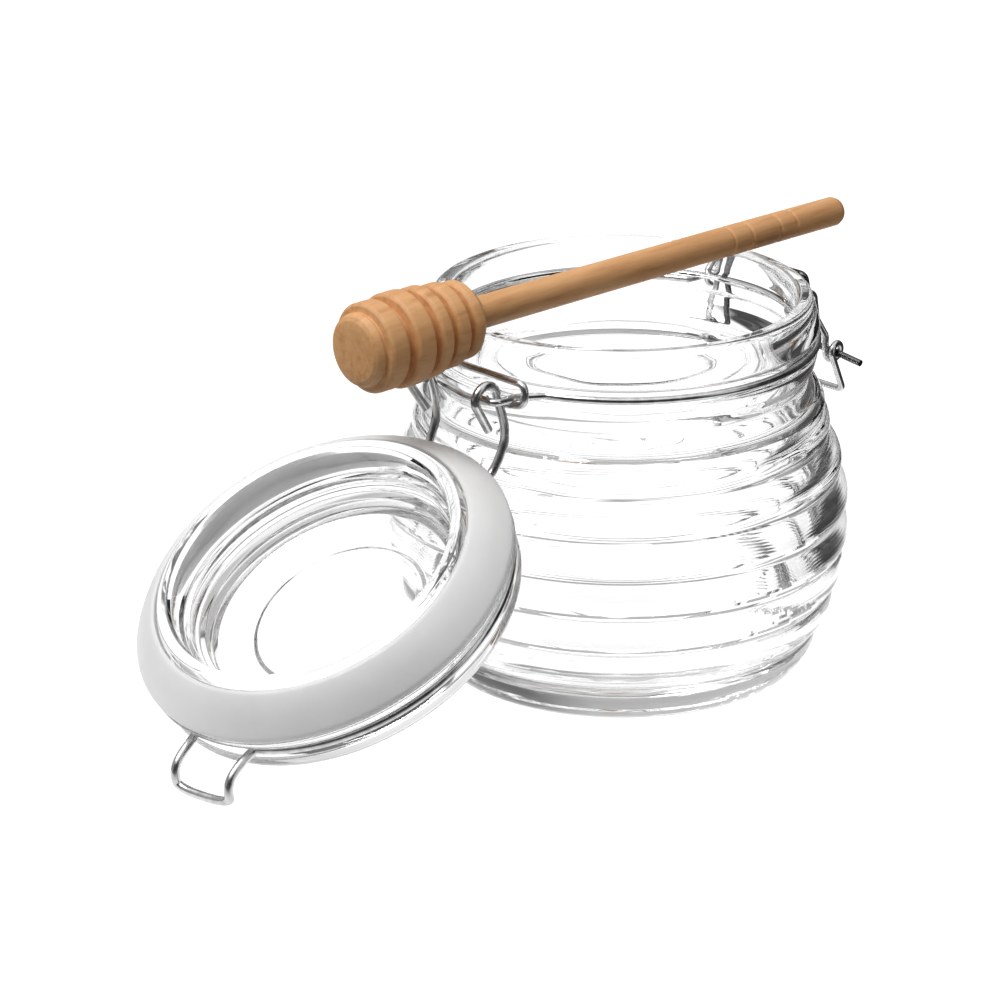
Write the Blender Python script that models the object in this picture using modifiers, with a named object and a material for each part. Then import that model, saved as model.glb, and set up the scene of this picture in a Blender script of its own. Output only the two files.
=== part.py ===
"""A clip-top honey jar: a ribbed glass jar with its glass lid open, steel wires and a wooden dipper.

Metres, +Z up. The jar's axis is Z and its flat base lies on z = 0. The lid hangs on -X, the latch on +X.
"""
import math

import bpy
from mathutils import Matrix, Vector

MM = 0.001
GAP = 0.3

# Jar, all in millimetres
RIM_Z = 94.2
RIM_R = 46.5
MOUTH_R = 42.4
RIM_ROUND = 1.4
BEAD_R = 48.4
BEAD_HIGH_Z = 88.0
BEAD_LOW_Z = 85.2
GROOVE_Z = 82.8
GROOVE_R = 46.5
GROOVE_HALF = 1.5
COLLAR_R = 48.0
COLLAR_Z = 80.3
THROAT_R = 45.3
THROAT_Z = 73.2
SHOULDER = [(46.4, 72.4), (48.4, 70.6), (49.9, 67.6)]
RIB_CREST_R = [51.0, 54.3, 56.3, 56.6, 55.3, 52.7, 48.6]
RIB_TOP_Z = 63.6
RIB_PITCH = 9.75
RIB_DEPTH = 1.7
RIB_STEPS = 4
BASE_R = 43.5
WALL = 3.6
FLOOR_Z = 6.0
FLOOR_R = 37.0
JAR_STEPS = 36

# Wires
NECK_WIRE_R = 0.9
LINK_WIRE_R = 0.9
LID_WIRE_R = 1.1
LATCH_WIRE_R = 0.85
SHARP_CORNER = 34.0
NECK_RING_R = GROOVE_R + GAP + 0.1 + NECK_WIRE_R

# Hinge: the neck wire's two ends are its pins, and a closed link ties them together
HINGE_X = -57.2
HINGE_Z = 83.2
PIN_INNER_Y = 8.8
PIN_OUTER_Y = 14.3
RING_END_Y = 18.0
PASS_X = -50.1
PASS_Y = 14.0
LINK_CORNERS = [(-49.8, 16.8, 86.4), (-50.1, 16.8, 81.3)]
LINK_SAG = (-50.4, 3.0, 79.0)
HOOK_Y = 11.2
HOOK_R = 3.5
HOOK_FREE_END = (-55.9, 75.3)
ARM_BOW = [(-51.9, 11.4, 77.8), (-51.3, 11.6, 74.2), (-51.7, 11.6, 70.6)]

# Lid, turned about its own axis. r is the distance from that axis, h the height above the gasket's edge,
# towards the plug that goes into the jar
LID_TILT = 29.7
LID_CENTRE = (-99.1, 45.4)
LID_STEPS = 32
PLUG_R = 38.6
PLUG_LIP_H = 9.9
PLUG_LIP_R = 35.4
SEAT_R = 46.8
SEAT_H = -1.6
LID_GROOVE_R = 43.2
LID_GROOVE_H = -5.6
LID_GROOVE_HALF = 1.5
LID_BEAD_R = 45.3
LID_BEAD_ROUND = 1.8
LID_TOP_H = -11.7
LID_BUTTON_R = 21.5
LID_BUTTON_H = -13.8
INSIDE_STEPS = [(34.7, 8.3), (34.0, 2.6), (32.9, 1.6), (32.3, -2.4), (31.0, -3.5), (30.4, -5.8), (29.2, -7.0)]
INSIDE_FLOOR = [(20.0, -8.2), (0.0, -8.6)]
GASKET_R = 47.1
GASKET_TOP_H = 8.3

# Catch loop on the lid's wire, and the arms that run to the hinge: distance r, height h, half width y
LID_RING_R = LID_GROOVE_R + GAP + 0.1 + LID_WIRE_R
CATCH = [(51.6, -5.3, 8.4), (54.9, -7.2, 8.4), (56.0, -11.4, 8.2)]
CATCH_ROOT_Y = 8.8
CATCH_TURN = 6.5
ARM_ROOT_Y = 10.6
ARM_FOOT = (48.3, -5.1, 11.2)

# Latch: a lever frame on the neck wire's straight front, and a bail in the lever's coils
FRONT_X = 51.2
FRONT_Y = 17.6
LEVER_EYE_R = 2.2
LEVER_EYE_Y = 15.6
LEVER_KNEE = [(53.4, 16.4, 78.0), (54.2, 18.9, 74.0)]
BAIL_PIVOT = (56.4, 69.5)
COIL_Y = 19.0
COIL_PITCH = 2.1
LEVER_SHIN = (56.0, 21.3, 65.0)
LEVER_FOOT = (58.4, 21.5, 59.2)
BAIL_TOP = (53.2, 12.5, 88.6)
BAIL_LEG = (55.8, 13.2, 72.5)
BAIL_ROD = [(56.4, 14.6, 69.9), (56.4, 21.8, 69.3), (56.8, 28.4, 68.3)]

# Dipper, along its own axis from the tip: each ring's middle, radius and half width, and the core between
DIPPER_LENGTH = 160.1
DIPPER_END = (76.2, -2.67)
DIPPER_YAW = -3.0
HANDLE_R = 3.95
HANDLE_END_R = 3.72
DIPPER_STEPS = 20
HEAD_CAP = [(5.5, 0.1), (7.3, 0.35), (8.3, 1.0), (8.9, 2.4), (8.5, 3.3)]
HEAD_RINGS = [
    (6.3, 10.8, 2.7), (13.75, 11.4, 2.85), (20.45, 11.0, 1.85), (26.15, 10.3, 2.05), (31.65, 9.5, 1.6),
]
HEAD_CORE_R = [8.4, 8.4, 8.0, 7.2]
HEAD_SHOULDER = [(7.6, 1.3), (5.6, 1.7)]
RING_EDGE = 0.7
HANDLE_GROOVES = [120.3, 126.7, 136.6, 142.2]
GROOVE_DEPTH = 0.5

OBJECT_NAME = "honey_jar"


def clear_scene():
    for obj in list(bpy.data.objects):
        bpy.data.objects.remove(obj, do_unlink=True)


def new_collection(name):
    collection = bpy.data.collections.new(name)
    bpy.context.scene.collection.children.link(collection)
    return collection


def principled(name, colour, roughness, metallic=0.0, transmission=0.0):
    material = bpy.data.materials.new(name)
    material.use_nodes = True
    shader = material.node_tree.nodes["Principled BSDF"]
    shader.inputs["Base Color"].default_value = (*colour, 1.0)
    shader.inputs["Roughness"].default_value = roughness
    shader.inputs["Metallic"].default_value = metallic
    shader.inputs["Transmission Weight"].default_value = transmission
    material.diffuse_color = (*colour, 1.0)
    return material


def arc(centre_r, centre_z, radius, start, end, steps):
    """Points on an arc of a profile, angles in degrees from the outward direction."""
    points = []
    for step in range(steps + 1):
        angle = math.radians(start + (end - start) * step / steps)
        points.append((centre_r + radius * math.cos(angle), centre_z + radius * math.sin(angle)))
    return points


def turned(name, profile, steps, material, collection, closed=False):
    """A body turned about Z from a profile of (radius, height) in millimetres, outer side downwards."""
    mesh = bpy.data.meshes.new(name)
    vertices = [(r * MM, 0.0, z * MM) for r, z in profile]
    edges = [(index, index + 1) for index in range(len(vertices) - 1)]
    if closed:
        edges.append((len(vertices) - 1, 0))
    mesh.from_pydata(vertices, edges, [])
    mesh.materials.append(material)
    obj = bpy.data.objects.new(name, mesh)
    collection.objects.link(obj)
    screw = obj.modifiers.new("Turn", "SCREW")
    screw.axis = "Z"
    screw.steps = steps
    screw.render_steps = steps
    screw.use_merge_vertices = True
    screw.merge_threshold = 0.00001
    screw.use_smooth_shade = True
    return obj


def rounded(points, radius, steps=4):
    """A polyline whose sharp corners are replaced by arcs of about the given radius."""
    corners = [Vector(point) for point in points]
    result = [corners[0]]
    for before, corner, after in zip(corners, corners[1:], corners[2:]):
        back = before - corner
        ahead = after - corner
        turn = math.pi - back.angle(ahead)
        if turn < math.radians(SHARP_CORNER):
            result.append(corner)
            continue
        trim = min(radius * math.tan(turn / 2.0), 0.48 * back.length, 0.48 * ahead.length)
        start = corner + back.normalized() * trim
        end = corner + ahead.normalized() * trim
        for step in range(steps + 1):
            t = step / steps
            result.append(start * (1 - t) ** 2 + corner * 2 * t * (1 - t) + end * t ** 2)
    result.append(corners[-1])
    return result


def rounded_loop(points, radius, steps=4):
    """A closed polyline with rounded corners."""
    corners = list(points)
    opened = [corners[-1]] + corners + [corners[0]]
    return rounded(opened, radius, steps)[1:-1]


def wire(name, points, radius, material, collection, cyclic=False):
    """Round wire along points in millimetres, with flat cut ends."""
    curve = bpy.data.curves.new(name, "CURVE")
    curve.dimensions = "3D"
    curve.bevel_depth = radius * MM
    curve.bevel_resolution = 2
    curve.use_fill_caps = not cyclic
    spline = curve.splines.new("POLY")
    spline.points.add(len(points) - 1)
    for target, point in zip(spline.points, points):
        target.co = (*(Vector(point) * MM), 1.0)
    spline.use_cyclic_u = cyclic
    spline.use_smooth = True
    curve.materials.append(material)
    obj = bpy.data.objects.new(name, curve)
    collection.objects.link(obj)
    return obj


def mirrored(points):
    """The same points on the other side of the XZ plane, in reverse order."""
    return [Vector((point[0], -point[1], point[2])) for point in reversed(points)]


def ring_arc(radius, z, start, end, steps):
    """Points round the Z axis from one azimuth to another, in degrees."""
    points = []
    for step in range(steps + 1):
        angle = math.radians(start + (end - start) * step / steps)
        points.append(Vector((radius * math.cos(angle), radius * math.sin(angle), z)))
    return points


def rib_crests():
    return [(radius, RIB_TOP_Z - RIB_PITCH * index) for index, radius in enumerate(RIB_CREST_R)]


def rib_profile():
    """The outer side of the ribs, downwards: each rib is an arc between two notches."""
    crests = rib_crests()
    chord = RIB_PITCH / 2.0
    radius = (chord ** 2 + RIB_DEPTH ** 2) / (2.0 * RIB_DEPTH)
    half_angle = math.degrees(math.asin(chord / radius))
    points = []
    for index, (crest_r, crest_z) in enumerate(crests):
        before = crests[max(index - 1, 0)][0]
        after = crests[min(index + 1, len(crests) - 1)][0]
        if index == 0:
            before = 2 * crest_r - after
        if index == len(crests) - 1:
            after = 2 * crest_r - before
        lean = (before - after) / (4.0 * chord)
        for r, z in arc(0.0, 0.0, radius, half_angle, -half_angle, RIB_STEPS):
            shift = (z / chord) * lean * chord
            points.append((crest_r + r - radius + shift, crest_z + z))
    merged = [points[0]]
    for point in points[1:]:
        last = merged[-1]
        if abs(point[1] - last[1]) < 0.01:
            merged[-1] = ((point[0] + last[0]) / 2.0, last[1])
        else:
            merged.append(point)
    return merged


def jar_outside():
    corner = RIM_ROUND
    points = arc(RIM_R - corner, RIM_Z - corner, corner, 90.0, 0.0, 3)
    points += [(BEAD_R - 0.5, BEAD_HIGH_Z + 1.6), (BEAD_R, BEAD_HIGH_Z - 0.6), (BEAD_R - 0.15, BEAD_LOW_Z)]
    points += [(GROOVE_R, GROOVE_Z + GROOVE_HALF), (GROOVE_R, GROOVE_Z - GROOVE_HALF)]
    points += [(COLLAR_R, COLLAR_Z + 0.2), (COLLAR_R - 0.5, COLLAR_Z - 2.6), (THROAT_R, THROAT_Z)]
    points += SHOULDER
    points += rib_profile()[1:-1]
    points += [(BASE_R + 1.4, 1.6), (BASE_R, 0.25), (BASE_R - 1.0, 0.0)]
    return points


def jar_inside():
    """The inner side, upwards from the floor's middle."""
    points = [(0.0, FLOOR_Z + 0.9), (20.0, FLOOR_Z + 0.6), (FLOOR_R - 4.0, FLOOR_Z)]
    points += [(FLOOR_R + 2.0, FLOOR_Z + 0.9), (FLOOR_R + 5.0, FLOOR_Z + 3.2)]
    for crest_r, crest_z in reversed(rib_crests()[:-1]):
        points.append((crest_r - RIB_DEPTH * 0.5 - WALL - 0.4, crest_z - RIB_PITCH / 2.0))
        points.append((crest_r - RIB_DEPTH * 0.5 - WALL + 0.3, crest_z))
    points += [(SHOULDER[2][0] - WALL - 0.9, SHOULDER[2][1] - 0.8), (THROAT_R - WALL + 0.2, THROAT_Z - 1.2)]
    points += [(MOUTH_R - 0.3, THROAT_Z + 3.5), (MOUTH_R, GROOVE_Z)]
    points += arc(MOUTH_R + RIM_ROUND, RIM_Z - RIM_ROUND, RIM_ROUND, 180.0, 90.0, 3)
    return points


def make_jar(material, collection):
    profile = jar_inside() + jar_outside() + [(0.0, 0.0)]
    return turned("jar_glass", profile, JAR_STEPS, material, collection)


def lid_profile():
    """The lid's section in (r, h), from the middle of its top down the outer side and back inside."""
    top = LID_TOP_H
    low = LID_GROOVE_H - LID_GROOVE_HALF
    high = LID_GROOVE_H + LID_GROOVE_HALF
    points = [(0.0, LID_BUTTON_H), (LID_BUTTON_R - 1.2, LID_BUTTON_H), (LID_BUTTON_R, LID_BUTTON_H + 0.5)]
    points += [(LID_BUTTON_R + 0.9, top - 0.4), (32.0, top + 0.3), (38.5, top + 0.5)]
    bead_r = LID_BEAD_R - LID_BEAD_ROUND
    points += [(r, -h) for r, h in arc(bead_r, -top - LID_BEAD_ROUND, LID_BEAD_ROUND, 105.0, 0.0, 4)]
    points += [(LID_BEAD_R - 0.2, low - 1.2), (LID_GROOVE_R, low), (LID_GROOVE_R, high)]
    points += [(SEAT_R - 1.2, high + 1.0), (SEAT_R, SEAT_H - 1.6), (SEAT_R - 0.2, SEAT_H)]
    points += [(PLUG_R, SEAT_H), (PLUG_R, PLUG_LIP_H - 2.2), (PLUG_R - 0.8, PLUG_LIP_H - 0.5)]
    points += [(PLUG_LIP_R + 1.4, PLUG_LIP_H), (PLUG_LIP_R, PLUG_LIP_H - 0.4)]
    return points + INSIDE_STEPS + INSIDE_FLOOR


def gasket_profile():
    inner = PLUG_R + GAP
    bottom = SEAT_H + GAP
    points = [(inner, bottom), (GASKET_R - 0.3, bottom), (GASKET_R, 0.1), (GASKET_R - 0.6, 1.2), (43.6, 5.2)]
    points += [(inner + 1.5, GASKET_TOP_H - 0.3), (inner + 0.5, GASKET_TOP_H), (inner, GASKET_TOP_H - 0.3)]
    return points


def lid_pin_offset():
    """The hinge axis seen from the lid: distance along the lid towards the hinge, and height h."""
    tilt = math.radians(LID_TILT)
    across = HINGE_X - LID_CENTRE[0]
    up = HINGE_Z - LID_CENTRE[1]
    along = across * math.cos(tilt) + up * math.sin(tilt)
    height = -across * math.sin(tilt) + up * math.cos(tilt)
    return along, height


def lid_local(along, h, y):
    """A point of the lid in its hinge's frame, in which the shut lid lies level with its dome up."""
    pin_along, pin_h = lid_pin_offset()
    return Vector((pin_along - along, y, pin_h - h))


def rest_local(x, z, y):
    """A point of the open lid, given in the object's frame, in the hinge's frame."""
    turn = Matrix.Rotation(-math.radians(180.0 - LID_TILT), 3, "Y")
    return turn @ Vector((x - HINGE_X, y, z - HINGE_Z))


def place_on_lid(obj, hinge, turned_body):
    obj.parent = hinge
    if turned_body:
        obj.location = lid_local(0.0, 0.0, 0.0) * MM


def turned_on_lid(name, profile, material, collection, closed=False):
    """Turns a section of the lid. Heights h run towards the plug, which is down when the lid is shut."""
    section = [(r, -h) for r, h in profile]
    return turned(name, section, LID_STEPS, material, collection, closed)


def make_neck_wire(material, collection):
    end = math.degrees(math.asin(RING_END_Y / NECK_RING_R))
    half = [Vector((HINGE_X, PIN_INNER_Y, HINGE_Z)), Vector((HINGE_X, PIN_OUTER_Y, HINGE_Z))]
    half.append(Vector((PASS_X, PASS_Y, GROOVE_Z)))
    ring = ring_arc(NECK_RING_R, GROOVE_Z, 180.0 - end, end, 20)
    front = [Vector((FRONT_X, FRONT_Y, GROOVE_Z))]
    points = rounded(half + ring + front + mirrored(front) + mirrored(ring) + mirrored(half), 1.6, 3)
    return wire("neck_wire", points, NECK_WIRE_R, material, collection)


def make_hinge_link(material, collection):
    half = [Vector(point) for point in LINK_CORNERS + [LINK_SAG]]
    points = rounded_loop(half + mirrored(half), 2.6)
    return wire("hinge_link", points, LINK_WIRE_R, material, collection, cyclic=True)


def hook_points(side):
    """One arm's cane-shaped end over the hinge, from its free end to the arm, as the lid hangs open."""
    points = [rest_local(*HOOK_FREE_END, side * (HOOK_Y - 0.6))]
    for step in range(8):
        angle = math.radians(190.0 - 190.0 * step / 7)
        x = HINGE_X + HOOK_R * math.cos(angle)
        z = HINGE_Z + HOOK_R * math.sin(angle)
        points.append(rest_local(x, z, side * HOOK_Y))
    return points + [rest_local(x, z, side * y) for x, y, z in ARM_BOW]


def lid_wire_side(side):
    """One side of the lid's wire, from its hook round the groove to the catch, which sits a little askew."""
    turn = math.radians(CATCH_TURN)
    catch_angle = math.degrees(math.asin(CATCH_ROOT_Y / LID_RING_R))
    arm_angle = math.degrees(math.asin(ARM_ROOT_Y / LID_RING_R))
    points = hook_points(side)
    points.append(lid_local(ARM_FOOT[0], ARM_FOOT[1], side * ARM_FOOT[2]))
    end = side * (180.0 - catch_angle) + CATCH_TURN
    for point in ring_arc(LID_RING_R, 0.0, side * arm_angle, end, 20):
        points.append(lid_local(point.x, LID_GROOVE_H, point.y))
    for r, h, y in CATCH:
        along = -r * math.cos(turn) - side * y * math.sin(turn)
        across = -r * math.sin(turn) + side * y * math.cos(turn)
        points.append(lid_local(along, h, across))
    return points


def make_lid_wire(material, collection, hinge):
    front = lid_wire_side(1.0)
    back = lid_wire_side(-1.0)
    points = rounded(front + back[::-1], 2.4, 3)
    obj = wire("lid_wire", points, LID_WIRE_R, material, collection)
    place_on_lid(obj, hinge, False)
    return obj


def lever_half():
    """One side of the lever: its eye on the neck wire, the bail's coil, and the foot."""
    points = []
    for step in range(9):
        angle = math.radians(255.0 - 255.0 * step / 8)
        x = FRONT_X + LEVER_EYE_R * math.cos(angle)
        points.append(Vector((x, LEVER_EYE_Y, GROOVE_Z + LEVER_EYE_R * math.sin(angle))))
    points += [Vector(point) for point in LEVER_KNEE]
    for step in range(13):
        angle = math.radians(180.0 + 360.0 * step / 12)
        x = BAIL_PIVOT[0] + LEVER_EYE_R * math.cos(angle)
        y = COIL_Y + COIL_PITCH * step / 12
        points.append(Vector((x, y, BAIL_PIVOT[1] + LEVER_EYE_R * math.sin(angle))))
    return points + [Vector(LEVER_SHIN), Vector(LEVER_FOOT)]


def make_lever(material, collection, pivot):
    half = lever_half()
    points = rounded(half + mirrored(half), 1.8, 3)
    origin = Vector((FRONT_X, 0.0, GROOVE_Z))
    obj = wire("latch_lever", [point - origin for point in points], LATCH_WIRE_R, material, collection)
    obj.parent = pivot
    return obj


def make_bail(material, collection, pivot):
    x, z = BAIL_PIVOT
    half = [Vector(point) for point in BAIL_ROD[::-1] + [BAIL_LEG, BAIL_TOP]]
    points = rounded(half + mirrored(half), 1.8, 3)
    origin = Vector((x, 0.0, z))
    obj = wire("latch_bail", [point - origin for point in points], LATCH_WIRE_R, material, collection)
    obj.parent = pivot
    return obj


def dipper_profile():
    """Radius against distance from the tip: a blunt cap, the rings, and the handle."""
    length = DIPPER_LENGTH
    points = [(0.0, 0.0)] + HEAD_CAP
    for index, (middle, radius, half) in enumerate(HEAD_RINGS):
        points.append((radius - RING_EDGE, middle - half))
        points.append((radius, middle - half + RING_EDGE))
        points.append((radius, middle + half - RING_EDGE))
        if index < len(HEAD_CORE_R):
            points.append((radius - RING_EDGE, middle + half))
            next_start = HEAD_RINGS[index + 1][0] - HEAD_RINGS[index + 1][2]
            core = HEAD_CORE_R[index]
            points += [(core, middle + half + 0.25), (core, next_start - 0.25)]
    head_end = HEAD_RINGS[-1][0] + HEAD_RINGS[-1][2]
    points += [(radius, head_end + beyond) for radius, beyond in HEAD_SHOULDER]
    points += [(HANDLE_R + 0.4, head_end + 2.2), (HANDLE_R, head_end + 3.4)]
    for place in HANDLE_GROOVES:
        radius = HANDLE_R + (HANDLE_END_R - HANDLE_R) * (place - head_end) / (length - head_end)
        points += [(radius, place - 0.6), (radius - GROOVE_DEPTH, place), (radius, place + 0.6)]
    points += [(HANDLE_END_R, length - 1.8), (HANDLE_END_R - 0.6, length - 0.5), (HANDLE_END_R - 1.5, length)]
    points.append((0.0, length))
    return points


def make_dipper(material, collection):
    profile = [(r, DIPPER_LENGTH - distance) for r, distance in dipper_profile()]
    obj = turned("dipper", profile, DIPPER_STEPS, material, collection)
    obj.rotation_euler = (0.0, math.radians(-90.0), math.radians(DIPPER_YAW))
    obj.location = Vector((*DIPPER_END, RIM_Z + HANDLE_R + GAP)) * MM
    return obj


def empty_at(name, x, z, collection, turn=0.0, parent=None, parent_at=(0.0, 0.0)):
    obj = bpy.data.objects.new(name, None)
    obj.empty_display_size = 0.01
    collection.objects.link(obj)
    if parent is not None:
        obj.parent = parent
    obj.location = Vector((x - parent_at[0], 0.0, z - parent_at[1])) * MM
    obj.rotation_euler = (0.0, math.radians(turn), 0.0)
    return obj


def main():
    clear_scene()
    parts = new_collection(OBJECT_NAME)
    glass = principled("clear_glass", (0.93, 0.95, 0.95), 0.03, transmission=1.0)
    silicone = principled("clear_silicone", (0.62, 0.62, 0.61), 0.45)
    steel = principled("steel_wire", (0.60, 0.60, 0.60), 0.25, metallic=1.0)
    wood = principled("beech_wood", (0.62, 0.36, 0.17), 0.6)

    make_jar(glass, parts)
    make_neck_wire(steel, parts)
    make_hinge_link(steel, parts)
    make_dipper(wood, parts)

    hinge = empty_at("lid_hinge", HINGE_X, HINGE_Z, parts, turn=180.0 - LID_TILT)
    lid = turned_on_lid("lid_glass", lid_profile(), glass, parts)
    place_on_lid(lid, hinge, True)
    gasket = turned_on_lid("gasket", gasket_profile(), silicone, parts, closed=True)
    place_on_lid(gasket, hinge, True)
    make_lid_wire(steel, parts, hinge)

    front = (FRONT_X, GROOVE_Z)
    lever_pivot = empty_at("lever_pivot", FRONT_X, GROOVE_Z, parts)
    make_lever(steel, parts, lever_pivot)
    bail_pivot = empty_at("bail_pivot", *BAIL_PIVOT, parts, parent=lever_pivot, parent_at=front)
    make_bail(steel, parts, bail_pivot)


main()
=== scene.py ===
"""Visual model of the clip-top honey jar: fine turned glass, drawn wire, silicone and turned wood."""
import math

import bpy
from mathutils import Matrix, Vector, noise


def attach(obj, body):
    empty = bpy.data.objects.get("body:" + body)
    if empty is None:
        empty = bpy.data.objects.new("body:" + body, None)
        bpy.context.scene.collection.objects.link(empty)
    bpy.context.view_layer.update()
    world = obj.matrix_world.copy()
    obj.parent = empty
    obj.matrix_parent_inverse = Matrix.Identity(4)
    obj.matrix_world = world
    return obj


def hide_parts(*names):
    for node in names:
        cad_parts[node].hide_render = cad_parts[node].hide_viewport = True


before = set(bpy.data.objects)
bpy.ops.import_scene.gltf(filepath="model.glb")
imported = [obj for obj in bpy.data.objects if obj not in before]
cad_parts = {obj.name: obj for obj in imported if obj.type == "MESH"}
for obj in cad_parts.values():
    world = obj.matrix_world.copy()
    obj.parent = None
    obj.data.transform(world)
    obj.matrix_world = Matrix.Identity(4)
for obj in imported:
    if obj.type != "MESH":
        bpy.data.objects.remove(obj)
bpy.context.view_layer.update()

MM = 0.001
GAP = 0.3
WIRE_CLEARANCE = GAP + 0.1

# Jar
RIM_Z = 94.2
RIM_R = 46.5
MOUTH_R = 42.4
RIM_ROUND = 1.4
BEAD_R = 48.4
BEAD_HIGH_Z = 88.0
BEAD_LOW_Z = 85.2
GROOVE_Z = 82.8
GROOVE_R = 46.5
GROOVE_HALF = 1.5
COLLAR_R = 48.0
COLLAR_Z = 80.3
THROAT_R = 45.3
THROAT_Z = 73.2
SHOULDER = [(46.4, 72.4), (48.4, 70.6), (49.9, 67.6)]
RIB_CREST_R = [51.0, 54.3, 56.3, 56.6, 55.3, 52.7, 48.6]
RIB_TOP_Z = 63.6
RIB_PITCH = 9.75
RIB_DEPTH = 1.7
BASE_R = 43.5
WALL = 3.6
FLOOR_Z = 6.0
FLOOR_R = 37.0
JAR_STEPS = 216

# Ripples of the inner wall: their heights, and how fast they change round the jar and up it
RIPPLE_LOW_Z = 14.0
RIPPLE_TOP_Z = 84.0
RIPPLE_LOW = 0.03
RIPPLE_HIGH = 0.40
RIPPLE_TURN = 2.6
RIPPLE_RISE = 0.40

# Wires
NECK_WIRE_R = 0.9
LINK_WIRE_R = 0.9
LID_WIRE_R = 1.1
LATCH_WIRE_R = 0.85
NECK_RING_R = GROOVE_R + WIRE_CLEARANCE + NECK_WIRE_R

# Hinge
HINGE_X = -57.2
HINGE_Z = 83.2
PIN_INNER_Y = 8.8
PIN_OUTER_Y = 14.3
RING_END_Y = 18.0
PASS_X = -50.1
PASS_Y = 14.0
LINK_CORNERS = [(-49.8, 16.8, 86.4), (-50.1, 16.8, 81.3)]
LINK_SAG = (-50.4, 3.0, 79.0)
HOOK_Y = 11.2
HOOK_R = 3.5
HOOK_FREE_END = (-55.9, 75.3)
ARM_BOW = [(-51.9, 11.4, 77.8), (-51.3, 11.6, 74.2), (-51.7, 11.6, 70.6)]

# Lid: r is the distance from its own axis, h the height above the gasket's edge, towards the plug
LID_STEPS = 192
LID_TILT = 29.7
LID_CENTRE = (-99.1, 45.4)
PLUG_R = 38.6
PLUG_LIP_H = 9.9
PLUG_LIP_R = 35.4
SEAT_R = 46.8
SEAT_H = -1.6
LID_GROOVE_R = 43.2
LID_GROOVE_H = -5.6
LID_GROOVE_HALF = 1.5
LID_BEAD_R = 45.3
LID_BEAD_ROUND = 1.8
LID_TOP_H = -11.7
LID_BUTTON_R = 21.5
LID_BUTTON_H = -13.8
INSIDE_STEPS = [(34.7, 8.3), (34.0, 2.6), (32.9, 1.6), (32.3, -2.4), (31.0, -3.5), (30.4, -5.8), (29.2, -7.0)]
INSIDE_FLOOR = [(20.0, -8.2), (0.0, -8.6)]
GASKET_R = 47.1
GASKET_TOP_H = 8.3

# Lid's wire: its ring in the groove, the catch (r, h, half width), and the foot of each arm
LID_RING_R = LID_GROOVE_R + WIRE_CLEARANCE + LID_WIRE_R
CATCH = [(51.6, -5.3, 8.4), (54.9, -7.2, 8.4), (56.0, -11.4, 8.2)]
CATCH_ROOT_Y = 8.8
CATCH_TURN = 6.5
ARM_ROOT_Y = 10.6
ARM_FOOT = (48.3, -5.1, 11.2)

# Latch
FRONT_X = 51.2
FRONT_Y = 17.6
LEVER_EYE_R = 2.2
LEVER_EYE_Y = 15.6
LEVER_KNEE = [(53.4, 16.4, 78.0), (54.2, 18.9, 74.0)]
BAIL_PIVOT = (56.4, 69.5)
COIL_Y = 19.0
COIL_PITCH = 2.1
LEVER_SHIN = (56.0, 21.3, 65.0)
LEVER_FOOT = (58.4, 21.5, 59.2)
BAIL_TOP = (53.2, 12.5, 88.6)
BAIL_LEG = (55.8, 13.2, 72.5)
BAIL_ROD = [(56.4, 14.6, 69.9), (56.4, 21.8, 69.3), (56.8, 28.4, 68.3)]

# Dipper
DIPPER_LENGTH = 160.1
DIPPER_END = (76.2, -2.67)
DIPPER_YAW = -3.0
HANDLE_R = 3.95
HANDLE_END_R = 3.72
HEAD_CAP = [(5.5, 0.1), (7.3, 0.35), (8.3, 1.0), (8.9, 2.4), (8.5, 3.3)]
HEAD_RINGS = [
    (6.3, 10.8, 2.7), (13.75, 11.4, 2.85), (20.45, 11.0, 1.85), (26.15, 10.3, 2.05), (31.65, 9.5, 1.6),
]
HEAD_CORE_R = [8.4, 8.4, 8.0, 7.2]
HEAD_SHOULDER = [(7.6, 1.3), (5.6, 1.7)]
RING_EDGE = 0.7
HANDLE_GROOVES = [120.3, 126.7, 136.6, 142.2]
GROOVE_DEPTH = 0.5
DIPPER_STEPS = 96
DROOP = 1.1
DROOP_FROM = 42.0

# Camera, worked out from the ellipses in the photo
CAMERA_TURN = 44.5
CAMERA_RISE = 21.35
CAMERA_ROLL = -0.1
CAMERA_DISTANCE = 1000.0
CAMERA_TARGET_Z = 50.0
CAMERA_RIGHT = 29.7
CAMERA_UP = 9.8
FOCAL_PIXELS = 4050.0
IMAGE_PIXELS = 1000.0
SENSOR_MM = 36.0


def arc(centre_r, centre_z, radius, start, end, steps):
    """Points (r, z) on an arc between two angles in degrees."""
    points = []
    for step in range(steps + 1):
        angle = math.radians(start + (end - start) * step / steps)
        points.append((centre_r + radius * math.cos(angle), centre_z + radius * math.sin(angle)))
    return points


def rounded(points, radius, steps=8, sharp=3.0):
    """A polyline whose corners are replaced by arcs of about the given radius."""
    corners = [Vector(point) for point in points]
    result = [corners[0]]
    for before, corner, after in zip(corners, corners[1:], corners[2:]):
        back = before - corner
        ahead = after - corner
        if back.length < 1e-6 or ahead.length < 1e-6:
            continue
        turn = math.pi - back.angle(ahead)
        if turn < math.radians(sharp):
            result.append(corner)
            continue
        trim = min(radius * math.tan(turn / 2.0), 0.48 * back.length, 0.48 * ahead.length)
        start = corner + back.normalized() * trim
        end = corner + ahead.normalized() * trim
        for step in range(steps + 1):
            t = step / steps
            result.append(start * (1 - t) ** 2 + corner * 2 * t * (1 - t) + end * t ** 2)
    result.append(corners[-1])
    return result


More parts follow.
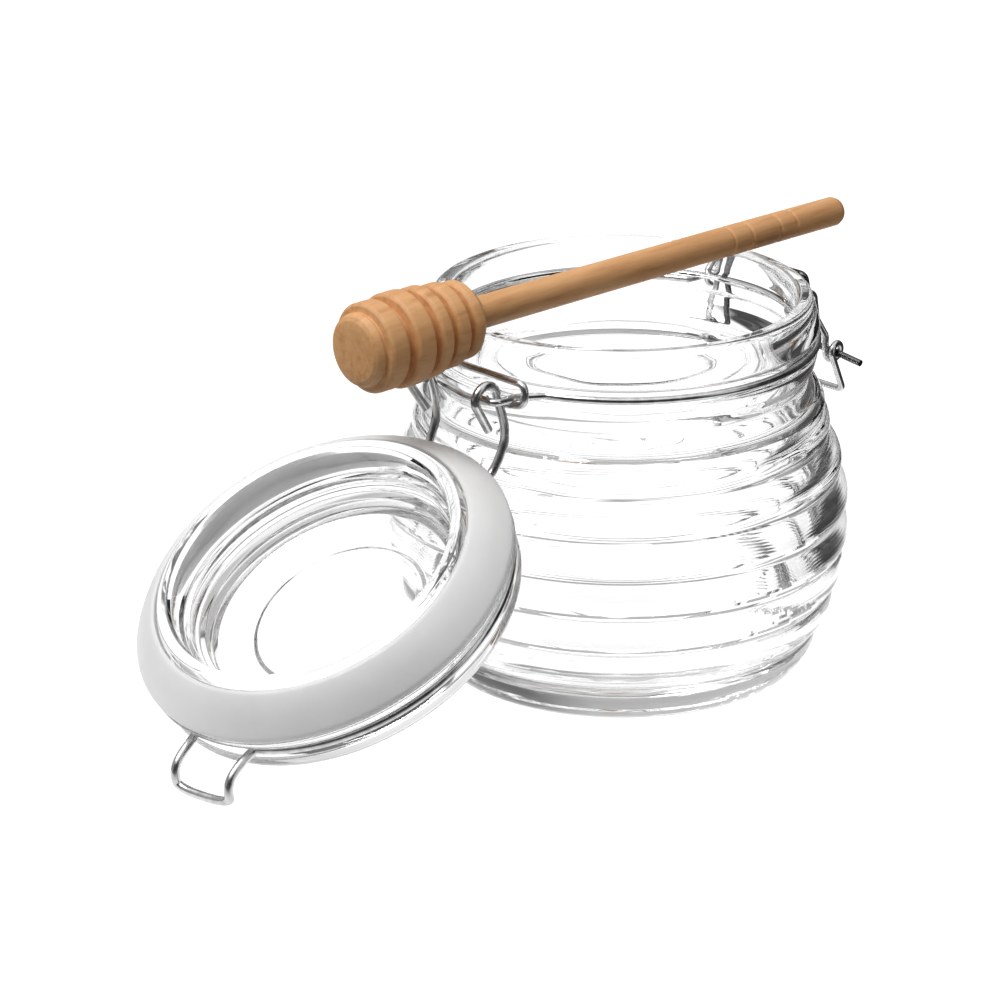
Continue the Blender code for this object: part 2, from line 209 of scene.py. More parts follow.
def corners_cut(points, rounds):
    """An open polyline with its corners cut again and again, which makes one smooth bend of each."""
    result = [Vector(point) for point in points]
    for _ in range(rounds):
        cut = [result[0]]
        for here, after in zip(result, result[1:]):
            cut += [here * 0.75 + after * 0.25, here * 0.25 + after * 0.75]
        result = cut + [result[-1]]
    return result


def rounded_loop(points, radius, steps=8):
    """A closed polyline with rounded corners."""
    corners = list(points)
    return rounded([corners[-1]] + corners + [corners[0]], radius, steps)[1:-1]


def soft_profile(points, radius, steps=4):
    """A profile of (r, z) with every corner rounded."""
    return [(point.x, point.y) for point in rounded(points, radius, steps, 1.0)]


def turned(name, profile, steps, closed=False, shape=None):
    """A mesh turned about Z from (r, z) in millimetres. shape moves a point (r, angle, z) a little."""
    vertices = []
    rings = []
    for r, z in profile:
        if r < 1e-6:
            rings.append([len(vertices)])
            vertices.append((0.0, 0.0, z * MM))
            continue
        ring = []
        for step in range(steps):
            angle = 2.0 * math.pi * step / steps
            radius, height = (r, z) if shape is None else shape(r, angle, z)
            ring.append(len(vertices))
            vertices.append((radius * MM * math.cos(angle), radius * MM * math.sin(angle), height * MM))
        rings.append(ring)
    faces = []
    pairs = list(zip(rings, rings[1:]))
    if closed:
        pairs.append((rings[-1], rings[0]))
    for upper, lower in pairs:
        for step in range(steps):
            after = (step + 1) % steps
            if len(upper) == 1:
                faces.append((upper[0], lower[step], lower[after]))
            elif len(lower) == 1:
                faces.append((upper[step], lower[0], upper[after]))
            else:
                faces.append((upper[step], lower[step], lower[after], upper[after]))
    mesh = bpy.data.meshes.new(name)
    mesh.from_pydata(vertices, [], faces)
    mesh.shade_smooth()
    obj = bpy.data.objects.new(name, mesh)
    bpy.context.scene.collection.objects.link(obj)
    return obj


def wire(name, points, radius, matrix, cyclic=False):
    """Round wire along points in millimetres, as a fine mesh."""
    curve = bpy.data.curves.new(name + "_path", "CURVE")
    curve.dimensions = "3D"
    curve.bevel_depth = radius * MM
    curve.bevel_resolution = 6
    curve.use_fill_caps = not cyclic
    spline = curve.splines.new("POLY")
    spline.points.add(len(points) - 1)
    for target, point in zip(spline.points, points):
        target.co = (*(Vector(point) * MM), 1.0)
    spline.use_cyclic_u = cyclic
    spline.use_smooth = True
    path = bpy.data.objects.new(name + "_path", curve)
    bpy.context.scene.collection.objects.link(path)
    graph = bpy.context.evaluated_depsgraph_get()
    mesh = bpy.data.meshes.new_from_object(path.evaluated_get(graph))
    bpy.data.objects.remove(path)
    mesh.transform(matrix)
    mesh.shade_smooth()
    mesh.set_sharp_from_angle(angle=math.radians(50.0))
    obj = bpy.data.objects.new(name, mesh)
    bpy.context.scene.collection.objects.link(obj)
    return obj


def mirrored(points):
    """The same points on the other side of the XZ plane, in reverse order."""
    return [Vector((point[0], -point[1], point[2])) for point in reversed(points)]


def ring_arc(radius, z, start, end, steps):
    """Points on a level arc about Z, between two angles in degrees."""
    points = []
    for step in range(steps + 1):
        angle = math.radians(start + (end - start) * step / steps)
        points.append(Vector((radius * math.cos(angle), radius * math.sin(angle), z)))
    return points


def rib_crests():
    """The crest (r, z) of each rib, from the top."""
    return [(radius, RIB_TOP_Z - RIB_PITCH * index) for index, radius in enumerate(RIB_CREST_R)]


def rib_profile(steps):
    """The ribs as a row of arcs, each leaning with the jar's belly. Arcs share the notch between them."""
    crests = rib_crests()
    chord = RIB_PITCH / 2.0
    radius = (chord ** 2 + RIB_DEPTH ** 2) / (2.0 * RIB_DEPTH)
    half_angle = math.degrees(math.asin(chord / radius))
    points = []
    for index, (crest_r, crest_z) in enumerate(crests):
        before = crests[max(index - 1, 0)][0]
        after = crests[min(index + 1, len(crests) - 1)][0]
        if index == 0:
            before = 2 * crest_r - after
        if index == len(crests) - 1:
            after = 2 * crest_r - before
        lean = (before - after) / (4.0 * chord)
        for r, z in arc(0.0, 0.0, radius, half_angle, -half_angle, steps):
            points.append((crest_r + r - radius + z * lean, crest_z + z))
    merged = [points[0]]
    for point in points[1:]:
        last = merged[-1]
        if abs(point[1] - last[1]) < 0.01:
            merged[-1] = ((point[0] + last[0]) / 2.0, last[1])
        else:
            merged.append(point)
    return merged


def jar_outside():
    """The outer side, from the rim down to the flat base."""
    corner = RIM_ROUND
    points = arc(RIM_R - corner, RIM_Z - corner, corner, 90.0, 0.0, 8)
    groove_top = GROOVE_Z + GROOVE_HALF
    bead = [points[-1], (BEAD_R - 0.8, BEAD_HIGH_Z + 1.4), (BEAD_R - 0.3, BEAD_HIGH_Z - 0.6)]
    bead += [(BEAD_R, BEAD_LOW_Z), (GROOVE_R, groove_top)]
    points += [tuple(point) for point in corners_cut(bead, 3)[1:]]
    points += [(GROOVE_R, GROOVE_Z - GROOVE_HALF)]
    points += [(COLLAR_R, COLLAR_Z + 0.2), (COLLAR_R - 0.5, COLLAR_Z - 2.6), (THROAT_R, THROAT_Z)]
    points += SHOULDER
    neck = soft_profile(points, 1.1)
    ribs = soft_profile(rib_profile(12)[1:-1], 0.35, 3)
    base = soft_profile([ribs[-1], (BASE_R + 1.4, 1.6), (BASE_R, 0.25), (BASE_R - 1.0, 0.0)], 1.2)
    return neck + ribs + base[1:]


def jar_inside():
    """The inner side, from the middle of the floor up to the rim."""
    points = [(0.0, FLOOR_Z + 0.9), (20.0, FLOOR_Z + 0.6), (FLOOR_R - 4.0, FLOOR_Z)]
    points += [(FLOOR_R + 2.0, FLOOR_Z + 0.9), (FLOOR_R + 5.0, FLOOR_Z + 3.2)]
    for crest_r, crest_z in reversed(rib_crests()[:-1]):
        points.append((crest_r - RIB_DEPTH * 0.5 - WALL - 0.4, crest_z - RIB_PITCH / 2.0))
        points.append((crest_r - RIB_DEPTH * 0.5 - WALL + 0.3, crest_z))
    points += [(SHOULDER[2][0] - WALL - 0.9, SHOULDER[2][1] - 0.8), (THROAT_R - WALL + 0.2, THROAT_Z - 1.2)]
    points += [(MOUTH_R - 0.3, THROAT_Z + 3.5), (MOUTH_R, GROOVE_Z)]
    smooth = evenly_spaced(soft_profile(points, 8.0, 6), 0.6)
    return smooth + arc(MOUTH_R + RIM_ROUND, RIM_Z - RIM_ROUND, RIM_ROUND, 180.0, 90.0, 8)


def evenly_spaced(points, spacing):
    """The same profile with points no further apart than the spacing."""
    result = [points[0]]
    for (r0, z0), (r1, z1) in zip(points, points[1:]):
        pieces = max(1, math.ceil(math.hypot(r1 - r0, z1 - z0) / spacing))
        for step in range(1, pieces + 1):
            share = step / pieces
            result.append((r0 + (r1 - r0) * share, z0 + (z1 - z0) * share))
    return result


def jar_shape(inside_points):
    """Pressed glass isn't even: the inner wall has long low ripples, most under the neck."""
    inner = {(round(r, 4), round(z, 4)) for r, z in inside_points}

    def shape(r, angle, z):
        if (round(r, 4), round(z, 4)) not in inner or z > RIPPLE_TOP_Z or z < RIPPLE_LOW_Z:
            return r, z
        place = Vector((math.cos(angle) * RIPPLE_TURN, math.sin(angle) * RIPPLE_TURN, z * RIPPLE_RISE))
        near_neck = max(0.0, 1.0 - abs(z - THROAT_Z + 6.0) / 14.0)
        fade = min(1.0, (RIPPLE_TOP_Z - z) / 4.0, (z - RIPPLE_LOW_Z) / 4.0)
        return r - (RIPPLE_LOW + RIPPLE_HIGH * near_neck) * fade * (0.5 + 0.5 * noise.noise(place)), z

    return shape


def make_jar():
    inside = jar_inside()
    profile = inside + jar_outside() + [(0.0, 0.0)]
    return turned("jar_body", profile, JAR_STEPS, shape=jar_shape(inside))


def lid_profile():
    """The lid's section (r, h): over the top, round the edge, and back through the hollow plug."""
    top = LID_TOP_H
    low = LID_GROOVE_H - LID_GROOVE_HALF
    high = LID_GROOVE_H + LID_GROOVE_HALF
    points = [(0.0, LID_BUTTON_H), (LID_BUTTON_R - 0.7, LID_BUTTON_H), (LID_BUTTON_R, LID_BUTTON_H + 0.4)]
    points += [(LID_BUTTON_R + 0.4, top - 0.2), (32.0, top + 0.3), (38.5, top + 0.5)]
    bead_r = LID_BEAD_R - LID_BEAD_ROUND
    points += [(r, -h) for r, h in arc(bead_r, -top - LID_BEAD_ROUND, LID_BEAD_ROUND, 105.0, 0.0, 10)]
    points += [(LID_BEAD_R - 0.2, low - 1.2), (LID_GROOVE_R, low), (LID_GROOVE_R, high)]
    points += [(SEAT_R - 1.2, high + 1.0), (SEAT_R, SEAT_H - 1.6), (SEAT_R - 0.2, SEAT_H)]
    points += [(PLUG_R, SEAT_H), (PLUG_R, PLUG_LIP_H - 2.2), (PLUG_R - 0.8, PLUG_LIP_H - 0.5)]
    points += [(PLUG_LIP_R + 1.4, PLUG_LIP_H), (PLUG_LIP_R, PLUG_LIP_H - 0.4)]
    return soft_profile(points + INSIDE_STEPS + INSIDE_FLOOR, 0.9)


def gasket_profile():
    """The gasket's closed section (r, h), clear of the plug and the seat."""
    inner = PLUG_R + GAP
    bottom = SEAT_H + GAP
    points = [(inner, bottom), (GASKET_R - 0.3, bottom), (GASKET_R, 0.1), (GASKET_R - 0.6, 1.2), (43.6, 5.2)]
    points += [(inner + 1.5, GASKET_TOP_H - 0.3), (inner + 0.5, GASKET_TOP_H), (inner, GASKET_TOP_H - 0.3)]
    first = tuple((a + b) / 2.0 for a, b in zip(points[0], points[1]))
    looped = [(r, h, 0.0) for r, h in [first] + points[1:] + [points[0], first]]
    return [(point.x, point.y) for point in corners_cut(looped, 3)[:-1]]


def lid_pin_offset():
    """Where the hinge's axis lies in the lid's own section: distance along the lid and height."""
    tilt = math.radians(LID_TILT)
    across = HINGE_X - LID_CENTRE[0]
    up = HINGE_Z - LID_CENTRE[1]
    along = across * math.cos(tilt) + up * math.sin(tilt)
    height = -across * math.sin(tilt) + up * math.cos(tilt)
    return along, height


def lid_local(along, h, y):
    """A point of the lid in its hinge's frame."""
    pin_along, pin_h = lid_pin_offset()
    return Vector((pin_along - along, y, pin_h - h))


def rest_local(x, z, y):
    """A point of the open lid's wire, given in the object's frame, in the hinge's frame."""
    turn = Matrix.Rotation(-math.radians(180.0 - LID_TILT), 3, "Y")
    return turn @ Vector((x - HINGE_X, y, z - HINGE_Z))


def hinge_matrix():
    """From the hinge's frame to the object's frame, with the lid open."""
    place = Matrix.Translation(Vector((HINGE_X, 0.0, HINGE_Z)) * MM)
    return place @ Matrix.Rotation(math.radians(180.0 - LID_TILT), 4, "Y")


def turned_on_lid(name, profile, closed=False):
    """A mesh turned about the open lid's own axis, from (r, h)."""
    obj = turned(name, [(r, -h) for r, h in profile], LID_STEPS, closed)
    obj.data.transform(hinge_matrix() @ Matrix.Translation(lid_local(0.0, 0.0, 0.0) * MM))
    return obj


def make_neck_wire():
    end = math.degrees(math.asin(RING_END_Y / NECK_RING_R))
    half = [Vector((HINGE_X, PIN_INNER_Y, HINGE_Z)), Vector((HINGE_X, PIN_OUTER_Y, HINGE_Z))]
    half.append(Vector((PASS_X, PASS_Y, GROOVE_Z)))
    ring = ring_arc(NECK_RING_R, GROOVE_Z, 180.0 - end, end, 60)
    front = [Vector((FRONT_X, FRONT_Y, GROOVE_Z))]
    points = rounded(half + ring + front + mirrored(front) + mirrored(ring) + mirrored(half), 1.6, 8, 8.0)
    return wire("neck_ring_wire", points, NECK_WIRE_R, Matrix())


def make_hinge_link():
    half = [Vector(point) for point in LINK_CORNERS + [LINK_SAG]]
    return wire("hinge_loop_wire", rounded_loop(half + mirrored(half), 2.6), LINK_WIRE_R, Matrix(), True)


def hook_points(side):
    """The lid wire's hook about the pin, and the arm that bows down from it."""
    points = [rest_local(*HOOK_FREE_END, side * (HOOK_Y - 0.6))]
    for step in range(25):
        angle = math.radians(190.0 - 190.0 * step / 24)
        x = HINGE_X + HOOK_R * math.cos(angle)
        z = HINGE_Z + HOOK_R * math.sin(angle)
        points.append(rest_local(x, z, side * HOOK_Y))
    return points + [rest_local(x, z, side * y) for x, y, z in ARM_BOW]


def lid_wire_side(side):
    """One side of the lid's wire, from its hook round the groove to the catch, which sits a little askew."""
    turn = math.radians(CATCH_TURN)
    catch_angle = math.degrees(math.asin(CATCH_ROOT_Y / LID_RING_R))
    arm_angle = math.degrees(math.asin(ARM_ROOT_Y / LID_RING_R))
    points = hook_points(side)
    points.append(lid_local(ARM_FOOT[0], ARM_FOOT[1], side * ARM_FOOT[2]))
    end = side * (180.0 - catch_angle) + CATCH_TURN
    for point in ring_arc(LID_RING_R, 0.0, side * arm_angle, end, 60):
        points.append(lid_local(point.x, LID_GROOVE_H, point.y))
    for r, h, y in CATCH:
        along = -r * math.cos(turn) - side * y * math.sin(turn)
        across = -r * math.sin(turn) + side * y * math.cos(turn)
        points.append(lid_local(along, h, across))
    return points


def make_lid_wire():
    front = lid_wire_side(1.0)
    back = lid_wire_side(-1.0)
    points = corners_cut(front + back[::-1], 4)
    return wire("lid_frame_wire", points, LID_WIRE_R, hinge_matrix())


def lever_half():
    """One side of the lever: eye on the neck wire, knee, coil for the bail, and the finger end."""
    points = []
    for step in range(25):
        angle = math.radians(255.0 - 255.0 * step / 24)
        x = FRONT_X + LEVER_EYE_R * math.cos(angle)
        points.append(Vector((x, LEVER_EYE_Y, GROOVE_Z + LEVER_EYE_R * math.sin(angle))))
    points += [Vector(point) for point in LEVER_KNEE]
    for step in range(37):
        angle = math.radians(180.0 + 360.0 * step / 36)
        x = BAIL_PIVOT[0] + LEVER_EYE_R * math.cos(angle)
        y = COIL_Y + COIL_PITCH * step / 36
        points.append(Vector((x, y, BAIL_PIVOT[1] + LEVER_EYE_R * math.sin(angle))))
    return points + [Vector(LEVER_SHIN), Vector(LEVER_FOOT)]


def make_lever():
    half = lever_half()
    return wire("lever_wire", rounded(half + mirrored(half), 1.8, 8, 11.0), LATCH_WIRE_R, Matrix())


def make_bail():
    half = [Vector(point) for point in BAIL_ROD[::-1] + [BAIL_LEG, BAIL_TOP]]
    return wire("bail_wire", rounded(half + mirrored(half), 1.8, 8), LATCH_WIRE_R, Matrix())


def dipper_profile():
    """The dipper's section (r, distance from its tip)."""
    length = DIPPER_LENGTH
    points = [(0.0, 0.0)] + HEAD_CAP
    for index, (middle, radius, half) in enumerate(HEAD_RINGS):
        points.append((radius - RING_EDGE, middle - half))
        points.append((radius, middle - half + RING_EDGE))
        points.append((radius, middle + half - RING_EDGE))
        if index < len(HEAD_CORE_R):
            points.append((radius - RING_EDGE, middle + half))
            next_start = HEAD_RINGS[index + 1][0] - HEAD_RINGS[index + 1][2]
            core = HEAD_CORE_R[index]
            points += [(core, middle + half + 0.25), (core, next_start - 0.25)]
    head_end = HEAD_RINGS[-1][0] + HEAD_RINGS[-1][2]
    points += [(radius, head_end + beyond) for radius, beyond in HEAD_SHOULDER]
    points += [(HANDLE_R + 0.4, head_end + 2.2), (HANDLE_R, head_end + 3.4)]
    for place in HANDLE_GROOVES:
        radius = HANDLE_R + (HANDLE_END_R - HANDLE_R) * (place - head_end) / (length - head_end)
        points += [(radius, place - 0.6), (radius - GROOVE_DEPTH, place), (radius, place + 0.6)]
    points += [(HANDLE_END_R, length - 1.8), (HANDLE_END_R - 0.6, length - 0.5), (HANDLE_END_R - 1.5, length)]
    points.append((0.0, length))
    return soft_profile(points, 0.7)


def make_dipper():
    """The dipper across the mouth. Its heavy head droops a little."""
    profile = [(r, DIPPER_LENGTH - distance) for r, distance in dipper_profile()]
    obj = turned("dipper_wood", profile, DIPPER_STEPS)
    for vertex in obj.data.vertices:
        from_tip = DIPPER_LENGTH - vertex.co.z / MM
        if from_tip < DROOP_FROM:
            vertex.co.x -= DROOP * (1.0 - (from_tip / DROOP_FROM) ** 2) * MM
    turn = Matrix.Rotation(math.radians(DIPPER_YAW), 4, "Z") @ Matrix.Rotation(math.radians(-90.0), 4, "Y")
    place = Matrix.Translation(Vector((*DIPPER_END, RIM_Z + HANDLE_R + GAP)) * MM)
    obj.data.transform(place @ turn)
    return obj


# Materials
class Nodes:
    """A new material's node tree, with short calls for what is used often."""

    def __init__(self, name):
        self.material = bpy.data.materials.new(name)
        self.material.use_nodes = True
        self.tree = self.material.node_tree
        self.shader = self.tree.nodes["Principled BSDF"]

    def add(self, kind, **values):
        node = self.tree.nodes.new(kind)
        for key, value in values.items():
            if hasattr(node, key):
                setattr(node, key, value)
            else:
                node.inputs[key.replace("_", " ").title()].default_value = value
        return node

    def link(self, source, target):
        self.tree.links.new(source, target)

    def place(self, scale):
        where = self.add("ShaderNodeTexCoord")
        mapping = self.add("ShaderNodeMapping")
        mapping.inputs["Scale"].default_value = scale
        self.link(where.outputs["Object"], mapping.inputs["Vector"])
        return mapping.outputs["Vector"]

    def noise(self, vector, scale, detail=2.0, roughness=0.5):
        node = self.add("ShaderNodeTexNoise")
        node.inputs["Scale"].default_value = scale
        node.inputs["Detail"].default_value = detail
        node.inputs["Roughness"].default_value = roughness
        self.link(vector, node.inputs["Vector"])
        return node.outputs["Fac"]

    def ramp(self, source, *stops):
        node = self.add("ShaderNodeValToRGB")
        ramp = node.color_ramp
        ramp.elements[0].position, ramp.elements[0].color = stops[0][0], (*stops[0][1], 1.0)
        ramp.elements[1].position, ramp.elements[1].color = stops[-1][0], (*stops[-1][1], 1.0)
        for position, colour in stops[1:-1]:
            ramp.elements.new(position).color = (*colour, 1.0)
        self.link(source, node.inputs["Fac"])
        return node.outputs["Color"]

    def bump(self, height, strength, distance):
        node = self.add("ShaderNodeBump")
        node.inputs["Strength"].default_value = strength
        node.inputs["Distance"].default_value = distance
        self.link(height, node.inputs["Height"])
        self.link(node.outputs["Normal"], self.shader.inputs["Normal"])


def grey(value):
    return (value, value, value)


def glass_material():
    n = Nodes("clear_glass_fine")
    n.shader.inputs["Transmission Weight"].default_value = 1.0
    n.shader.inputs["IOR"].default_value = 1.5
    n.shader.inputs["Roughness"].default_value = 0.0
    wide = n.noise(n.place((1.0, 1.0, 2.6)), 55.0, 1.0)
    tint = n.ramp(wide, (0.3, (0.985, 0.992, 0.99)), (0.7, (1.0, 1.0, 1.0)))
    n.link(tint, n.shader.inputs["Base Color"])
    n.bump(n.noise(n.place((1.0, 1.0, 3.0)), 70.0, 1.0), 0.06, 0.0006)
    return n.material


def silicone_material():
    n = Nodes("milky_silicone_fine")
    spots = n.noise(n.place((1.0, 1.0, 1.0)), 60.0, 3.0)
    tint = n.ramp(spots, (0.3, (0.86, 0.86, 0.855)), (0.7, (0.91, 0.91, 0.905)))
    n.link(tint, n.shader.inputs["Base Color"])
    n.shader.inputs["Roughness"].default_value = 0.42
    n.shader.inputs["Transmission Weight"].default_value = 0.15
    n.shader.inputs["IOR"].default_value = 1.41
    n.shader.inputs["Subsurface Weight"].default_value = 0.5
    n.shader.inputs["Subsurface Radius"].default_value = (1.0, 1.0, 1.0)
    n.shader.inputs["Subsurface Scale"].default_value = 0.004
    n.bump(n.noise(n.place((1.0, 1.0, 1.0)), 900.0, 2.0), 0.06, 0.0002)
    return n.material


def steel_material(name, low, high):
    n = Nodes(name)
    fine = n.noise(n.place((1.0, 1.0, 1.0)), 420.0, 4.0)
    n.link(n.ramp(fine, (0.3, grey(low)), (0.7, grey(high))), n.shader.inputs["Base Color"])
    n.link(n.ramp(fine, (0.2, grey(0.16)), (0.8, grey(0.30))), n.shader.inputs["Roughness"])
    n.shader.inputs["Metallic"].default_value = 1.0
    n.bump(fine, 0.15, 0.0001)
    return n.material


def wood_material():
    n = Nodes("beech_wood_fine")
    along = n.place((6.0, 60.0, 60.0))
    grain = n.noise(along, 9.0, 6.0, 0.6)
    broad = n.noise(n.place((3.0, 14.0, 14.0)), 5.0, 3.0, 0.5)
    colour = n.ramp(
        grain,
        (0.25, (0.50, 0.235, 0.085)),
        (0.42, (0.66, 0.34, 0.14)),
        (0.58, (0.72, 0.39, 0.17)),
        (0.8, (0.78, 0.44, 0.21)),
    )
    tint = n.ramp(broad, (0.3, (0.90, 0.86, 0.82)), (0.7, (1.0, 1.0, 1.0)))
    mix = n.add("ShaderNodeMix", data_type="RGBA", blend_type="MULTIPLY")
    mix.inputs["Factor"].default_value = 1.0
    n.link(colour, mix.inputs[6])
    n.link(tint, mix.inputs[7])
    n.link(mix.outputs[2], n.shader.inputs["Base Color"])
    n.shader.inputs["Roughness"].default_value = 0.55
    n.bump(grain, 0.25, 0.0003)
    return n.material


def dress(obj, material, body, node):
    """Gives a piece its material and the body it rides on, and hides the CAD part it stands for."""
    obj.data.materials.clear()
    obj.data.materials.append(material)
    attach(obj, body)
    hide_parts(node)


glass = glass_material()
silicone = silicone_material()
steel = steel_material("drawn_steel_fine", 0.50, 0.74)
# The bail's steel is painted near black: a painted dark reflection, standing in for the dark surroundings it
# mirrors
steel_painted_dark_reflection = steel_material("steel_painted_dark_reflection_fine", 0.06, 0.16)
wood = wood_material()

dress(make_jar(), glass, "jar", "jar_glass")
dress(make_neck_wire(), steel, "jar", "neck_wire")
dress(make_hinge_link(), steel, "jar", "hinge_link")
dress(make_dipper(), wood, "jar", "dipper")
dress(turned_on_lid("lid_body", lid_profile()), glass, "lid", "lid_glass")
dress(turned_on_lid("lid_gasket", gasket_profile(), True), silicone, "lid", "gasket")
dress(make_lid_wire(), steel, "lid", "lid_wire")
dress(make_lever(), steel, "lever", "latch_lever")
# The bail wears the steel painted near black, a painted dark reflection
dress(make_bail(), steel_painted_dark_reflection, "bail", "latch_bail")


# Camera
turn = math.radians(CAMERA_TURN)
rise = math.radians(CAMERA_RISE)
back = Vector((-math.sin(turn) * math.cos(rise), -math.cos(turn) * math.cos(rise), math.sin(rise)))
right = Vector((math.cos(turn), -math.sin(turn), 0.0))
ahead = Vector((math.sin(turn), math.cos(turn), 0.0))
up = back.cross(right)
roll = math.radians(CAMERA_ROLL)
camera = bpy.data.objects.new("camera", bpy.data.cameras.new("camera"))
bpy.context.scene.collection.objects.link(camera)
place = Vector((0.0, 0.0, CAMERA_TARGET_Z)) + back * CAMERA_DISTANCE - right * CAMERA_RIGHT - up * CAMERA_UP
rolled_right = right * math.cos(roll) + up * math.sin(roll)
rolled_up = up * math.cos(roll) - right * math.sin(roll)
facing = Matrix((rolled_right, rolled_up, back)).transposed().to_4x4()
camera.matrix_world = Matrix.Translation(place * MM) @ facing
camera.data.lens = SENSOR_MM * FOCAL_PIXELS / IMAGE_PIXELS
camera.data.sensor_width = SENSOR_MM
camera.data.clip_start = 0.01
camera.data.clip_end = 100.0
bpy.context.scene.camera = camera


# Floor: white to the camera. For the light that passes through glass it glows only about and behind the jar.
# Each edge of that lit patch, in metres: where it starts to fade, where it ends, and what is left there
DARK_RIGHT = (0.09, 0.12, 0.0)
DARK_LEFT = (0.19, 0.22, 0.0)
DARK_FRONT = (0.08, 0.20, 0.03)
DARK_BACK = (0.80, 1.50, 0.30)
FLOOR_SIDE = 6.0
FLOOR_DROP = 0.0004
FLOOR_GREY = 0.04
FLOOR_GLOW = 1.2
floor_mesh = bpy.data.meshes.new("floor")
corners = [(FLOOR_SIDE * x, FLOOR_SIDE * y, 0) for x, y in ((-1, -1), (1, -1), (1, 1), (-1, 1))]
floor_mesh.from_pydata(corners, [], [(0, 1, 2, 3)])
floor = bpy.data.objects.new("floor", floor_mesh)
floor.location.z = -FLOOR_DROP
bpy.context.scene.collection.objects.link(floor)
n = Nodes("white_floor")
n.shader.inputs["Base Color"].default_value = (*grey(FLOOR_GREY), 1.0)
n.shader.inputs["Roughness"].default_value = 0.9
n.shader.inputs["Specular IOR Level"].default_value = 0.0
n.shader.inputs["Emission Color"].default_value = (*grey(FLOOR_GLOW), 1.0)
where = n.add("ShaderNodeTexCoord")


def floor_edge(vector, start, end, left):
    """One edge of the lit patch: 1 inside it, fading to what is left beyond it."""
    along = n.add("ShaderNodeVectorMath", operation="DOT_PRODUCT")
    n.link(where.outputs["Object"], along.inputs[0])
    along.inputs[1].default_value = vector
    fade = n.add("ShaderNodeMapRange", interpolation_type="SMOOTHSTEP")
    n.link(along.outputs["Value"], fade.inputs["Value"])
    fade.inputs["From Min"].default_value = start
    fade.inputs["From Max"].default_value = end
    fade.inputs["To Min"].default_value = 1.0
    fade.inputs["To Max"].default_value = left
    return fade.outputs["Result"]


lit = floor_edge(right, *DARK_RIGHT)
for direction, edge in ((-right, DARK_LEFT), (-ahead, DARK_FRONT), (ahead, DARK_BACK)):
    product = n.add("ShaderNodeMath", operation="MULTIPLY")
    n.link(lit, product.inputs[0])
    n.link(floor_edge(direction, *edge), product.inputs[1])
    lit = product.outputs[0]
direct = n.add("ShaderNodeLightPath")
strongest = n.add("ShaderNodeMath", operation="MAXIMUM")
n.link(lit, strongest.inputs[0])
n.link(direct.outputs["Is Camera Ray"], strongest.inputs[1])
n.link(strongest.outputs[0], n.shader.inputs["Emission Strength"])
floor_mesh.materials.append(n.material)


# Surroundings for the light: greys and one bright strip all round, and white from above. Each stop is a
# share of a full turn and a brightness: 0.5 is straight ahead of the camera, more is to its right. The
# camera itself sees white
STOPS = [
    (0.0, 0.04), (0.12, 0.08), (0.20, 0.40), (0.30, 0.50), (0.42, 0.50), (0.52, 0.40), (0.56, 0.10),
    (0.68, 0.05), (0.71, 0.0), (0.79, 0.0), (0.81, 0.9), (0.85, 0.9), (0.87, 0.02), (1.0, 0.04),
]
TOP_FROM = 0.55
TOP_FULL = 0.85
TOP_GLOW = 1.15
SEEN_WHITE = 1.1
world = bpy.data.worlds.new("tent")
world.use_nodes = True
bpy.context.scene.world = world
tree = world.node_tree
tree.nodes.clear()


def world_node(kind, operation=None):
    node = tree.nodes.new(kind)
    if operation:
        node.operation = operation
    return node


def dot_with(source, vector):
    node = world_node("ShaderNodeVectorMath", "DOT_PRODUCT")
    tree.links.new(source, node.inputs[0])
    node.inputs[1].default_value = vector
    return node.outputs["Value"]


direction = world_node("ShaderNodeTexCoord").outputs["Generated"]
angle = world_node("ShaderNodeMath", "ARCTAN2")
tree.links.new(dot_with(direction, right), angle.inputs[0])
tree.links.new(dot_with(direction, ahead), angle.inputs[1])
turned_share = world_node("ShaderNodeMapRange")
turned_share.inputs["From Min"].default_value = -math.pi
turned_share.inputs["From Max"].default_value = math.pi
tree.links.new(angle.outputs[0], turned_share.inputs["Value"])
around = world_node("ShaderNodeValToRGB")
while len(around.color_ramp.elements) < len(STOPS):
    around.color_ramp.elements.new(0.5)
for element, (position, value) in zip(around.color_ramp.elements, STOPS):
    element.position = position
    element.color = (*grey(value), 1.0)
tree.links.new(turned_share.outputs["Result"], around.inputs["Fac"])
above = world_node("ShaderNodeMapRange")
above.interpolation_type = "SMOOTHSTEP"
above.inputs["From Min"].default_value = TOP_FROM
above.inputs["From Max"].default_value = TOP_FULL
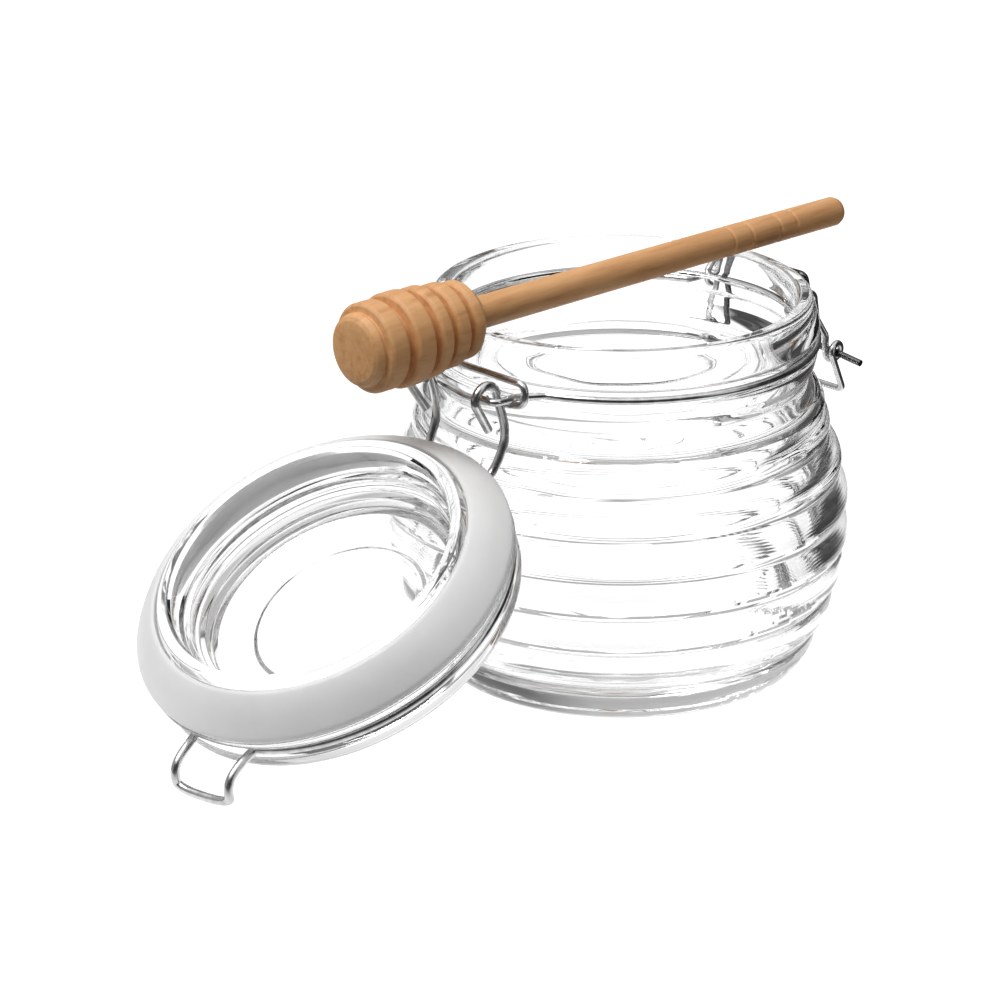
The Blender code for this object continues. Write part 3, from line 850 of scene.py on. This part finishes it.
tree.links.new(dot_with(direction, (0.0, 0.0, 1.0)), above.inputs["Value"])
blend = world_node("ShaderNodeMix")
blend.data_type = "RGBA"
tree.links.new(above.outputs["Result"], blend.inputs[0])
tree.links.new(around.outputs["Color"], blend.inputs[6])
blend.inputs[7].default_value = (*grey(TOP_GLOW), 1.0)
background = world_node("ShaderNodeBackground")
tree.links.new(blend.outputs[2], background.inputs["Color"])
plain = world_node("ShaderNodeBackground")
plain.inputs["Color"].default_value = (1.0, 1.0, 1.0, 1.0)
plain.inputs["Strength"].default_value = SEEN_WHITE
seen = world_node("ShaderNodeLightPath")
choice = world_node("ShaderNodeMixShader")
tree.links.new(seen.outputs["Is Camera Ray"], choice.inputs["Fac"])
tree.links.new(background.outputs[0], choice.inputs[1])
tree.links.new(plain.outputs[0], choice.inputs[2])
output = world_node("ShaderNodeOutputWorld")
tree.links.new(choice.outputs[0], output.inputs["Surface"])


# Softbox above, to the left and towards the camera
SOFTBOX_HEIGHT = 0.9
SOFTBOX_LEFT = 0.5
SOFTBOX_NEAR = 0.3
SOFTBOX_SIZE = 0.5
SOFTBOX_POWER = 7.0
over = Vector((0.0, 0.0, SOFTBOX_HEIGHT)) - right * SOFTBOX_LEFT + back * SOFTBOX_NEAR
aim = Vector((0.0, 0.0, CAMERA_TARGET_Z * MM)) - over
softbox_data = bpy.data.lights.new("softbox", "AREA")
softbox_data.size = SOFTBOX_SIZE
softbox_data.energy = SOFTBOX_POWER
softbox = bpy.data.objects.new("softbox", softbox_data)
softbox.location = over
softbox.rotation_euler = aim.to_track_quat("-Z", "Y").to_euler()
bpy.context.scene.collection.objects.link(softbox)


# Enough bounces for light to pass through the lid and both walls of the jar
GLASS_BOUNCES = 24
scene = bpy.context.scene
scene.view_settings.view_transform = "Standard"
scene.cycles.max_bounces = GLASS_BOUNCES
scene.cycles.transmission_bounces = GLASS_BOUNCES
scene.cycles.glossy_bounces = 8
scene.cycles.diffuse_bounces = 4
scene.cycles.caustics_refractive = True
scene.cycles.caustics_reflective = True
